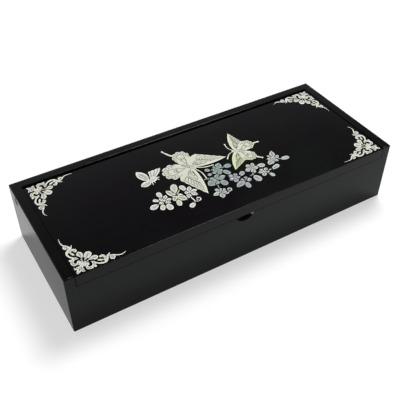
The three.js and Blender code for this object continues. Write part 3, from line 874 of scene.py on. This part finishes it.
def carved(node, strokes, slits):
    """A shell piece as a closed bmesh: rounded edge, dished petals, grooves along the strokes, saw cuts.

    Without strokes, the petals and leaves get their midribs and are parted by short cuts.
    """
    sizes = chosen("inlay")
    low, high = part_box(node)
    groove = sizes.groove_width / MM
    rounded = sizes.edge_round / MM
    loops = [smoothed(loop) for loop in outlines(node)]
    if strokes is None:
        strokes = midribs(loops)
        slits = partings(loops)
    borders = loops + slits
    lines = [run for stroke in strokes for run in kept_runs(stroke, borders, GROOVE_MARGIN * groove)]
    loose = [inset_points(borders, row * rounded) for row in BORDER_ROWS]
    loose = np.vstack([*loose, grid_points(borders, sizes.mesh_step / MM)])
    loose = loose[distance(loose, lines) > GROOVE_CLEAR * groove]
    sides = [beside(line, side * groove / 2) for line in lines for side in (-1, 1)]
    flat, faces = triangles(borders, lines, [loose, *sides])
    middles = flat[faces].mean(axis=1)
    kept = inside(middles, loops)
    for cut in slits:
        kept &= ~inside(middles, [cut])
    depth = distance(flat, borders)
    engraved = np.clip(1 - distance(flat, lines) / (groove / 2), 0, 1)
    slope = np.clip((depth - RIM_START) / RIM_SLOPE, 0, 1)
    rim = slope * slope * (3 - 2 * slope)
    fall = 1 - np.clip(depth / rounded, 0, 1)
    drop = rounded * (1 - np.sqrt(1 - fall**2))
    height = high.z - (drop * MM + sizes.dish_depth * rim + sizes.groove_depth * engraved)
    hem = (depth < HEM * rounded).astype(float)
    values = {"rim": rim, "engraved": engraved, "hem": hem}
    return closed_shell(flat * MM, faces[kept], low.z, height, values)


def triangles(loops, lines, loose):
    """Triangles over closed lines, open lines and loose points: the points as one array, and the faces."""
    points = [loop[:-1] for loop in loops] + lines
    edges = []
    count = 0
    for i, line in enumerate(points):
        size = len(line)
        steps = size if i < len(loops) else size - 1
        edges += [(count + k, count + (k + 1) % size) for k in range(steps)]
        count += size
    every = [Vector(point) for point in np.vstack([*points, *loose])]
    flat, _, faces, *_ = delaunay_2d_cdt(every, edges, [], 0, MERGE)
    return np.array([tuple(point) for point in flat]), np.array([list(face) for face in faces])


def beside(line, offset):
    """A line to the left of an open line, or to its right where the offset is negative."""
    return line + offset * leftward(np.gradient(line, axis=0))


def leftward(way):
    """The way to the left of each way, with a length of one."""
    way = way / np.maximum(np.linalg.norm(way, axis=1), 1e-9)[:, None]
    return np.column_stack([-way[:, 1], way[:, 0]])


def closed_shell(flat, faces, base, height, values):
    """A plate with an even underside, drawn up to each point's height. The values become attributes."""
    values = {"rise": height - base, "foot": np.ones(len(flat)), **values}
    mesh = bmesh.new()
    for name in values:
        mesh.verts.layers.float.new(name)
    layers = mesh.verts.layers.float
    verts = [mesh.verts.new((x, y, base)) for x, y in flat]
    for name, numbers in values.items():
        for vert, number in zip(verts, numbers):
            vert[layers[name]] = number
    for face in faces:
        mesh.faces.new([verts[i] for i in face])
    bmesh.ops.delete(mesh, geom=[v for v in mesh.verts if not v.link_faces], context="VERTS")
    bmesh.ops.delete(mesh, geom=crumbs(mesh), context="FACES")
    drawn = bmesh.ops.extrude_face_region(mesh, geom=mesh.faces[:])["geom"]
    for item in drawn:
        if isinstance(item, bmesh.types.BMVert):
            item.co.z += item[layers["rise"]]
            item[layers["foot"]] = 0.0
    layers.remove(layers["rise"])
    return mesh


def crumbs(mesh):
    """The faces of the bits that the saw cuts leave loose and that are too small to lay."""
    found = []
    for first in mesh.faces:
        if first.tag:
            continue
        first.tag = True
        bit = [first]
        for face in bit:
            for other in (near for edge in face.edges for near in edge.link_faces):
                if not other.tag:
                    other.tag = True
                    bit.append(other)
        if sum(face.calc_area() for face in bit) < CRUMB * MM**2:
            found += bit
    return found


# The butterflies' engraving, drawn with the head towards +X and the left wings towards +Y.


def toward(start, end, part):
    return np.array(start) + part * (np.array(end) - np.array(start))


def front_wing_lines(tip, corner):
    """A cell with an eye at the shoulder, veins fanned from it, and a line inside the outer edge."""
    shoulder = np.array((0.6, 0.9))

    def reach(part, share_out):
        return toward(shoulder, toward(tip, corner, part), share_out)

    outer_cell = (
        (0.04, 0.14), (-0.01, 0.38), (0.2, 0.5), (0.4, 0.45),
        (0.6, 0.52), (0.84, 0.48), (0.96, 0.3), (0.9, 0.12),
    )
    inner_cell = ((0.3, 0.14), (0.22, 0.34), (0.5, 0.38), (0.78, 0.34), (0.7, 0.14))
    lines = [drawn_line([reach(*spot) for spot in cell]) for cell in (outer_cell, inner_cell)]
    lines.append(ring(reach(0.5, 0.24), 0.7))
    for part in (0.06, 0.2, 0.34, 0.48, 0.62, 0.76, 0.9):
        lines.append(drawn_line([reach(part, 0.6), reach(part + 0.02, 0.7), reach(part, 0.82)]))
    lines.append(drawn_line([reach(0.05 + 0.09 * i, 0.91 if i % 2 else 0.88) for i in range(11)]))
    lines += [ring(reach(0.13 + 0.14 * i, 0.6), 0.4) for i in range(6)]
    return lines


def rear_wing_lines(centre, radius):
    """A round eye, veins across the lobe, and a line inside its rim."""
    centre = np.array(centre)
    root = np.array((-2.2, 1.2))
    heading = math.atan2(*(centre - root)[::-1])

    def rim(degrees, share_out):
        angle = heading + math.radians(degrees)
        return centre + radius * share_out * np.array((math.cos(angle), math.sin(angle)))

    base = toward(root, centre, 0.12)
    lobe = [rim(*spot) for spot in ((-80, 0.4), (-40, 0.5), (0, 0.46), (40, 0.5), (80, 0.4))]
    lines = [drawn_line([base, *lobe, base]), ring(toward(root, centre, 0.85), 0.15 * radius)]
    lines.append(drawn_line([toward(base, point, 0.55) for point in lobe]))
    lines.append(drawn_line([rim(degrees, 0.82) for degrees in range(-120, 121, 20)]))
    for degrees in (-100, -75, -50, -25, 0, 25, 50, 75, 100):
        lines.append(drawn_line([rim(degrees * 0.95, 0.58), rim(degrees, 0.74)]))
    return lines


def ring(centre, radius):
    """A closed small round line."""
    return volute(centre, radius, radius, 0, 360)


def volute(centre, radius, end_radius, start, sweep):
    """A line that winds about its centre from one radius to another, with its angles in degrees."""
    steps = max(8, math.ceil(abs(math.radians(sweep)) * radius / ROUND_STEP))
    part = np.linspace(0, 1, steps + 1)
    angle = np.radians(start + sweep * part)
    reach = radius + (end_radius - radius) * part
    return np.array(centre) + reach[:, None] * np.column_stack([np.cos(angle), np.sin(angle)])


def body_lines(tail_end):
    """The body's two sides and the rings of its abdomen."""
    lines = []
    for side in (-1, 1):
        outline = ((-tail_end, 0.2), (-2, 1.1), (1, 0.9), (3.4, 0.7))
        lines.append(drawn_line([(x, y * side) for x, y in outline]))
    for x in np.arange(-tail_end + 1.6, -0.5, 1.3):
        lines.append(drawn_line([(x, -0.6), (x - 0.2, 0), (x, 0.6)], step=0.3))
    return lines


def flipped(lines):
    return [line * (1, -1) for line in lines]


def placed(lines, place, degrees):
    """Lines turned to a heading and moved to their place on the lid."""
    turn = math.radians(degrees)
    across = np.array(((math.cos(turn), math.sin(turn)), (-math.sin(turn), math.cos(turn))))
    return [line @ across + place for line in lines]


def large_butterfly_lines():
    left = front_wing_lines((19, 18.6), (-1.8, 14.2)) + rear_wing_lines((-9.8, 7.6), 6.3)
    right = front_wing_lines((19.9, 21.6), (-0.8, 15.6)) + rear_wing_lines((-8.7, 8.4), 7.8)
    return placed(left + flipped(right) + body_lines(7.4), (-10.5, 3), -50)


def medium_butterfly_lines():
    side = front_wing_lines((3.8, 20.6), (-4.2, 10.6)) + rear_wing_lines((-7.6, 6), 5)
    return placed(side + flipped(side) + body_lines(7), (25.5, 2), 155)


def small_butterfly_lines():
    veins = (
        ((-1.6, 2), (-2.6, 6), (-4.1, 9.6)),
        ((-2.6, 2.2), (-4, 5.4), (-5, 8.2)),
        ((-0.6, 2.4), (-1.4, 5.6), (-3, 8.8)),
        ((-2, -1.4), (-4.6, -1.4), (-7, -2)),
        ((-2, -2), (-4.4, -2.8), (-6.6, -2.9)),
        ((2, 3), (2.6, 5.2), (3.4, 7.4)),
        ((3.2, 3), (5, 5.2), (6.4, 7.6)),
        ((4, 2.6), (6.6, 4.8), (9, 7.4)),
        ((-1.4, -0.8), (0.6, -0.2), (3.2, 0)),
    )
    return placed([drawn_line(vein) for vein in veins], (-39.4, 4.4), 0)


SCROLL_MARGIN = 0.06  # mm from the box round a scroll to the corner that it is drawn from


def scroll_lines(corner, quarter):
    """The engraving of one corner scroll, drawn from the lid's corner and turned to it."""
    arm = [
        volute((8.7, 3.4), 3.9, 1.5, 118, -330),
        volute((22.6, 2.2), 0.95, 0.5, 150, -250),
        drawn_line([(18.9, 3.4), (18, 5), (17.5, 6)]),
        drawn_line([(17.4, 2.9), (15.6, 3.5)]),
        drawn_line([(12.4, 3.1), (14.4, 1.7), (16.8, 1.2), (18.8, 2.2)]),
        drawn_line([(8.4, 7.1), (11.4, 7.3), (14.6, 7.05)]),
        volute((1.55, 4.6), 0.6, 0.35, 60, -260),
        drawn_line([(20.6, 4.1), (22.4, 3.9), (24.6, 2.9)]),
    ]
    middle = [drawn_line([(8, 8), (11.6, 11.6)]), drawn_line([(1, 1), (2.8, 2.8)]), ring((3.5, 3.5), 0.8)]
    return placed(arm + [line[:, ::-1] for line in arm] + middle, corner, 90 * quarter)


def scroll_cuts(corner, quarter):
    """The saw cuts that part a scroll's leaves from each other and from its stems."""
    arm = (
        ((10.2, 8.25), (9, 7.65), (8.1, 7.25)),
        ((12.5, 5.3), (11, 5.95), (9.7, 6.25)),
        ((13.5, 5.2), (13.7, 3.7), (14.6, 2.75), (16, 2.2), (17.3, 2.0)),
        ((15.1, 5.3), (16.5, 4.75), (17.6, 4)),
        ((5.7, 0.7), (5.8, 2.2), (6, 3.6)),
    )
    lines = [drawn_line(line) for line in arm]
    width = chosen("inlay").cut_width / MM
    cuts = [slit(line, width) for line in lines + [line[:, ::-1] for line in lines]]
    return placed(cuts, corner, 90 * quarter)


def inlay(node, strokes, centre, slits=(), tone=None):
    """Carves one shell piece and lays it in the lid. Its tone is that of its slot, if none is given. The centre is
    how far the middle of the piece is drawn towards painted shade.
    """
    slots = {row["node"]: row["material_slot"] for row in frame["record"]["subparts"]}
    slot = slots[node]
    tone = tone or slot.removeprefix("shell_")
    rgb = tuple(getattr(chosen("shell"), tone))
    name = f"carved_{tone}_{round(centre * 100)}"
    material = bpy.data.materials.get(name) or shell(name, rgb, centre)
    mesh = carved(node, strokes, list(slits))
    finish_piece(mesh, f"{node}_shell", material, "lid", node, flat_weight=False)


# Operators.


class PENBOX_OT_case_walls(bpy.types.Operator):
    """Build the two end walls, the front wall with its nail notch, and the back wall"""

    bl_idname = "penbox.case_walls"
    bl_label = "Case walls"

    def execute(self, context):
        walls = {
            "left_end_wall": end_wall("left"),
            "right_end_wall": end_wall("right"),
            "front_wall": front_wall(),
            "back_wall": back_wall(),
        }
        for node, mesh in walls.items():
            finish = coat("end_lacquer" if "end" in node else "case_lacquer")
            finish_piece(mesh, f"{node}_board", finish, "case", node)
        return {"FINISHED"}


class PENBOX_OT_bottom(bpy.types.Operator):
    """Build the panel let into the underside"""

    bl_idname = "penbox.bottom"
    bl_label = "Bottom panel"

    def execute(self, context):
        finish = coat("case_lacquer")
        finish_piece(bottom_panel(), "bottom_panel_board", finish, "case", "bottom_panel")
        return {"FINISHED"}


class PENBOX_OT_lining(bpy.types.Operator):
    """Lay the felt on the bottom panel"""

    bl_idname = "penbox.lining"
    bl_label = "Felt lining"

    def execute(self, context):
        felt = finish_piece(felt_pad(), "felt_lining", felt_cloth(), "case", "felt_pad")
        return {"FINISHED"}


class PENBOX_OT_hinge(bpy.types.Operator):
    """Set the hinge pins and the plugs that hide them"""

    bl_idname = "penbox.hinge"
    bl_label = "Hinge pins and plugs"

    def execute(self, context):
        steel = pin_steel()
        dull = coat("plug_lacquer")
        for side in ("left", "right"):
            finish_piece(hinge_pin(side), f"{side}_pin", steel, "case", f"{side}_hinge_pin")
            finish_piece(pin_plug(side), f"{side}_plug", dull, "case", f"{side}_pin_plug")
        return {"FINISHED"}


class PENBOX_OT_lid(bpy.types.Operator):
    """Build the lid board"""

    bl_idname = "penbox.lid"
    bl_label = "Lid board"

    def execute(self, context):
        finish = coat("lid_lacquer")
        finish_piece(lid_board(), "lid_board_panel", finish, "lid", "lid_board")
        return {"FINISHED"}


class PENBOX_OT_scrolls(bpy.types.Operator):
    """Lay the four corner scrolls"""

    bl_idname = "penbox.scrolls"
    bl_label = "Corner scrolls"

    def execute(self, context):
        for quarter, corner in enumerate(("front_left", "front_right", "back_right", "back_left")):
            node = f"corner_scroll_{corner}"
            low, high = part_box(node)
            x = low.x / MM + SCROLL_MARGIN if "left" in corner else high.x / MM - SCROLL_MARGIN
            y = low.y / MM + SCROLL_MARGIN if "front" in corner else high.y / MM - SCROLL_MARGIN
            inlay(node, scroll_lines((x, y), quarter), 0.6, scroll_cuts((x, y), quarter), "scroll")
        return {"FINISHED"}


class PENBOX_OT_butterflies(bpy.types.Operator):
    """Lay the three butterflies with their engraving"""

    bl_idname = "penbox.butterflies"
    bl_label = "Butterflies"

    def execute(self, context):
        inlay("large_butterfly", large_butterfly_lines(), 0.5)
        inlay("medium_butterfly", medium_butterfly_lines(), 0.35)
        inlay("small_butterfly", small_butterfly_lines(), 0.45)
        return {"FINISHED"}


class PENBOX_OT_sprays(bpy.types.Operator):
    """Lay the blossoms and leaves of the two sprays"""

    bl_idname = "penbox.sprays"
    bl_label = "Blossom sprays"

    def execute(self, context):
        for node in sorted(name for name in frame["nodes"] if "_spray_" in name):
            inlay(node, None, 0.9)
        return {"FINISHED"}


# The stage: camera, floor, lamps and sky.

CAMERA_PLACE = (-0.1707, -0.2778, 0.3074)
CAMERA_AIM = (0.3806, 0.6384, -0.6691)
SENSOR = 36.0  # mm
PHOTO_SIDE = 400  # pixels
FOCAL_PIXELS = 627.39  # the focal length in the photograph's pixels
KEY_LAMP = {"place": (0.38, 0.22, 1.03), "target": (0, 0, 0), "size": (0.42, 0.42)}
SIDE_LAMP = {"place": (-0.9, -0.35, 0.35), "target": (-0.1, 0, 0.02), "size": (0.5, 0.35)}
FLOOR_HALF = 12  # metres
NEAR_AND_FAR = (0.5, 1.6)  # metres from the box: between them the floor passes into white

# The sky's brightness from the pale horizon to the dark ceiling, as positions and levels.
SKY_LEVELS = ((0, 1), (0.4, 0.8), (0.55, 0.55), (0.62, 0.3), (0.7, 0.12), (0.78, 0.05), (1, 0.02))


def aimed(place, direction):
    """The transform of a camera or lamp at a place, looking along a direction with its top up."""
    turn = Vector(direction).to_track_quat("-Z", "Y")
    return Matrix.Translation(place) @ turn.to_matrix().to_4x4()


def add_camera():
    data = bpy.data.cameras.new("photo_camera")
    data.sensor_width = SENSOR
    data.lens = SENSOR * FOCAL_PIXELS / PHOTO_SIDE
    data.clip_start = 0.01
    camera = new_object("photo_camera", data)
    camera.matrix_world = aimed(CAMERA_PLACE, CAMERA_AIM)
    bpy.context.scene.camera = camera


def add_floor():
    mesh = bmesh.new()
    bmesh.ops.create_grid(mesh, x_segments=8, y_segments=8, size=FLOOR_HALF)
    data = bpy.data.meshes.new("floor")
    mesh.to_mesh(data)
    mesh.free()
    data.materials.append(floor_finish())
    new_object("floor", data)


def add_lamp(name, place, target, size, power):
    data = bpy.data.lights.new(name, "AREA")
    data.shape = "RECTANGLE"
    data.size, data.size_y = size
    data.energy = power
    new_object(name, data).matrix_world = aimed(place, Vector(target) - Vector(place))


def floor_finish():
    """A pale matt floor that keeps the shadows near the box and is white to the camera further away."""
    look = chosen("stage")
    finish = Finish(bpy.data.materials.new("pale_floor"))
    place = finish.place()
    away = finish.distance(place, (0, 0, 0))
    far = away.step(*NEAR_AND_FAR) * (1.0 - look.floor_glow) + look.floor_glow
    grain = finish.noise(place, per_metre=3, detail=3)
    base = finish.mix(grain * 0.04, look.floor, tuple(c * 0.9 for c in look.floor))
    seen = finish.light_path("Is Camera Ray") + finish.light_path("Is Transmission Ray")
    glow = seen * far + finish.light_path("Is Glossy Ray") * look.mirrored_glow
    return finish.surface(
        Base_Color=base,
        Roughness=1.0,
        Specular_IOR_Level=0.0,
        Emission_Color=finish.mix(glow, (0.0, 0.0, 0.0), (1.0, 1.0, 1.0)),
        Emission_Strength=1.0,
    )


def studio_sky(world):
    """White round the horizon and to the camera, and dim overhead, as in a studio with a dark ceiling."""
    finish = Finish(world)
    way = finish.node("ShaderNodeTexCoord", out="Generated")
    axes = [finish.node("ShaderNodeSeparateXYZ", sockets={"Vector": way}, out=axis) for axis in "XYZ"]
    side, back, up = axes
    height = up - back * 0.6 + side * 0.15 + 0.4
    stops = [(place, (level, level, level)) for place, level in SKY_LEVELS]
    ceiling = finish.node("ShaderNodeValToRGB", {"stops": stops}, {"Fac": height})
    white = (1.0, 1.0, 1.0)
    shade = finish.mix(up.step(0.2, 0.4), white, ceiling)
    seen = finish.light_path("Is Camera Ray") + finish.light_path("Is Transmission Ray")
    shade = finish.mix(seen, shade, white)
    return finish.show(finish.node("ShaderNodeBackground", sockets={"Color": shade, "Strength": 1.0}))


class PENBOX_OT_stage(bpy.types.Operator):
    """Set the camera, the floor, the lamps and the sky"""

    bl_idname = "penbox.stage"
    bl_label = "Stage"

    def execute(self, context):
        scene = context.scene
        look = chosen("stage")
        add_camera()
        add_floor()
        add_lamp("key", power=look.key_power, **KEY_LAMP)
        add_lamp("side", power=look.side_power, **SIDE_LAMP)
        scene.world = scene.world or bpy.data.worlds.new("studio")
        studio_sky(scene.world)
        scene.view_settings.view_transform = "Standard"
        return {"FINISHED"}


class PENBOX_PT_panel(bpy.types.Panel):
    """The pen box's pieces, in the sidebar"""

    bl_idname = "PENBOX_PT_panel"
    bl_label = "Pen Box"
    bl_space_type = "VIEW_3D"
    bl_region_type = "UI"
    bl_category = "Pen Box"

    def draw(self, context):
        for operator in OPERATORS:
            self.layout.operator(operator.bl_idname)
        for key in GROUPS:
            group = getattr(context.scene, key)
            box = self.layout.box()
            for name in group.__annotations__:
                box.prop(group, name)


GROUPS = {
    "pen_box_boards": BoardSizes,
    "pen_box_inlay": InlaySizes,
    "pen_box_lacquer": LacquerLook,
    "pen_box_shell": ShellLook,
    "pen_box_trim": TrimLook,
    "pen_box_stage": StageLook,
}
OPERATORS = (
    PENBOX_OT_stage,
    PENBOX_OT_case_walls,
    PENBOX_OT_bottom,
    PENBOX_OT_lining,
    PENBOX_OT_hinge,
    PENBOX_OT_lid,
    PENBOX_OT_scrolls,
    PENBOX_OT_butterflies,
    PENBOX_OT_sprays,
)
CLASSES = (*GROUPS.values(), *OPERATORS, PENBOX_PT_panel)


def register():
    for made in CLASSES:
        bpy.utils.register_class(made)
    for key, group in GROUPS.items():
        setattr(bpy.types.Scene, key, PointerProperty(type=group))


def unregister():
    for key in GROUPS:
        delattr(bpy.types.Scene, key)
    for made in reversed(CLASSES):
        bpy.utils.unregister_class(made)


def main():
    register()
    for operator in OPERATORS:
        group, name = operator.bl_idname.split(".")
        getattr(getattr(bpy.ops, group), name)()


if __name__ == "__main__":
    main()
